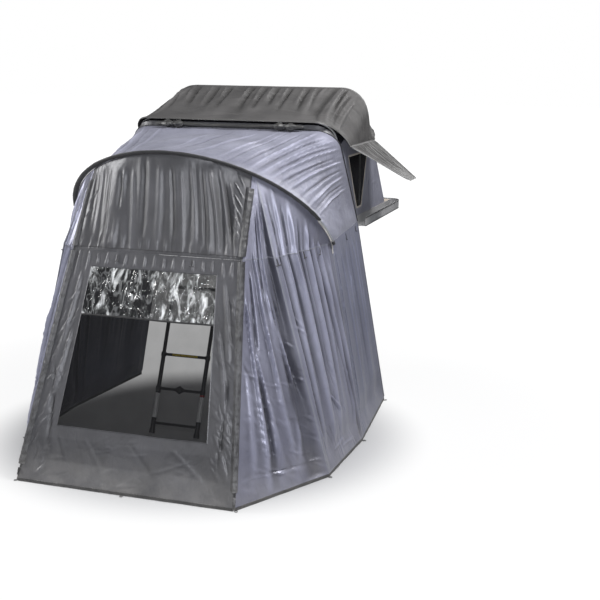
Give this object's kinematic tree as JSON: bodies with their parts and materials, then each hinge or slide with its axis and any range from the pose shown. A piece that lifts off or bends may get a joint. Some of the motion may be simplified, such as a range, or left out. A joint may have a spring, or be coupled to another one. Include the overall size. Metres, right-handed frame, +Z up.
{
  "type": "roof tent with awning room",
  "caption": "Fold-out roof tent with a sloping cloth awning room hung from its front hoop, an arched front pole, a zipped front door with a film and net window, and a telescopic ladder",
  "frame": {"origin": "middle of the bounding box, on the ground", "axes": "+Z up, -Y out of the front door, +Y towards the vehicle, +X to the right of the vehicle side"},
  "size_m": [2.84, 4.461, 2.89],
  "materials": {
    "silver_cloth": "coated ripstop with a soft sheen",
    "grey_cloth": "coated cloth, dull",
    "canopy_cloth": "coated canvas, dull",
    "dark_webbing": "woven tape",
    "pale_webbing": "woven tape",
    "clear_film": "clear soft film",
    "window_net": "fine net",
    "black_plastic": "moulded",
    "slider_metal": "black cast metal",
    "bare_alloy": "drawn tube and section",
    "gutter_cover": "coated tarpaulin",
    "deck_board": "sealed board",
    "ladder_alloy": "dark anodised"
  },
  "bodies": {
    "tent": {"roof_panel": "silver_cloth", "front_band": "silver_cloth", "tent_rear_wall": "silver_cloth", "side_front_right": "silver_cloth", "side_front_left": "silver_cloth", "side_middle_right": "silver_cloth", "side_middle_left": "silver_cloth", "side_rear_right": "silver_cloth", "side_rear_left": "silver_cloth", "tent_side_right": "silver_cloth", "tent_side_left": "silver_cloth", "front_upper_wall": "grey_cloth", "tent_front_wall": "grey_cloth", "canopy": "canopy_cloth", "rolled_flap": "canopy_cloth", "arch_sleeve": "dark_webbing", "hem_right": "dark_webbing", "hem_left": "dark_webbing", "zip_cover_upper_right": "dark_webbing", "zip_cover_upper_left": "dark_webbing", "roll_tie_right": "dark_webbing", "roll_tie_left": "dark_webbing", "foot_strap_right": "pale_webbing", "foot_strap_left": "pale_webbing", "side_mesh_right": "window_net", "side_mesh_left": "window_net", "arch_foot_right": "black_plastic", "arch_foot_left": "black_plastic", "toggle_right": "black_plastic", "toggle_left": "black_plastic", "zip_coil_right": "black_plastic", "zip_coil_left": "black_plastic", "arch_pole": "bare_alloy", "front_hoop": "bare_alloy", "ridge_hoop": "bare_alloy", "deck_hinge": "bare_alloy", "roof_rail_front": "bare_alloy", "roof_rail_rear": "bare_alloy", "ladder_bracket": "bare_alloy", "cover_gutter": "gutter_cover", "deck_front": "deck_board", "deck_rear": "deck_board"},
    "front_door": {"front_door": "grey_cloth", "window_film": "clear_film", "window_mesh": "window_net", "hem_front": "dark_webbing", "zip_cover_lower_right": "dark_webbing", "zip_cover_lower_left": "dark_webbing"},
    "zip_slider_right": {"zip_slider_right": "slider_metal"},
    "zip_slider_left": {"zip_slider_left": "slider_metal"},
    "flap_right": {"window_flap_right": "canopy_cloth", "flap_bow_right": "bare_alloy"},
    "flap_left": {"window_flap_left": "canopy_cloth", "flap_bow_left": "bare_alloy"},
    "ladder_button": {"ladder_button": "black_plastic"},
    "ladder_1": {"ladder_section_1": "ladder_alloy"},
    "ladder_2": {"ladder_section_2": "ladder_alloy"},
    "ladder_3": {"ladder_section_3": "ladder_alloy"},
    "ladder_4": {"ladder_section_4": "ladder_alloy"},
    "ladder_5": {"ladder_section_5": "ladder_alloy"}
  },
  "joints": [
    {"name": "door_lift", "type": "hinge", "parent": "tent", "child": "front_door", "pos_m": [0, -1.5545, 1.7], "axis": [-1, 0, 0], "range_deg": [0, 80]},
    {"name": "zip_run_right", "type": "slide", "parent": "front_door", "child": "zip_slider_right", "axis": [-0.1025, 0.3575, 0.9283], "range_m": [0, 1.58]},
    {"name": "zip_run_left", "type": "slide", "parent": "front_door", "child": "zip_slider_left", "axis": [0.1025, 0.3575, 0.9283], "range_m": [0, 1.58]},
    {"name": "flap_fold_right", "type": "hinge", "parent": "tent", "child": "flap_right", "pos_m": [0.9832, 0.7855, 2.3968], "axis": [0, 1, 0], "range_deg": [0, 50]},
    {"name": "flap_fold_left", "type": "hinge", "parent": "tent", "child": "flap_left", "pos_m": [-0.9832, 0.7855, 2.3968], "axis": [0, -1, 0], "range_deg": [0, 50]},
    {"name": "ladder_swing", "type": "hinge", "parent": "tent", "child": "ladder_1", "pos_m": [-0.176, -0.1805, 1.69], "axis": [-1, 0, 0], "range_deg": [0, 33]},
    {"name": "ladder_slide_1", "type": "slide", "parent": "ladder_1", "child": "ladder_2", "axis": [0, 0.3939, 0.9191], "range_m": [0, 0.246]},
    {"name": "ladder_slide_2", "type": "slide", "parent": "ladder_2", "child": "ladder_3", "axis": [0, 0.3939, 0.9191], "range_m": [0, 0.246]},
    {"name": "ladder_slide_3", "type": "slide", "parent": "ladder_3", "child": "ladder_4", "axis": [0, 0.3939, 0.9191], "range_m": [0, 0.246]},
    {"name": "ladder_slide_4", "type": "slide", "parent": "ladder_4", "child": "ladder_5", "axis": [0, 0.3939, 0.9191], "range_m": [0, 0.246]},
    {"name": "button_press", "type": "slide", "parent": "ladder_5", "child": "ladder_button", "axis": [0, 0.9191, -0.3939], "range_m": [0, 0.003], "stiffness_N_per_m": 400}
  ]
}
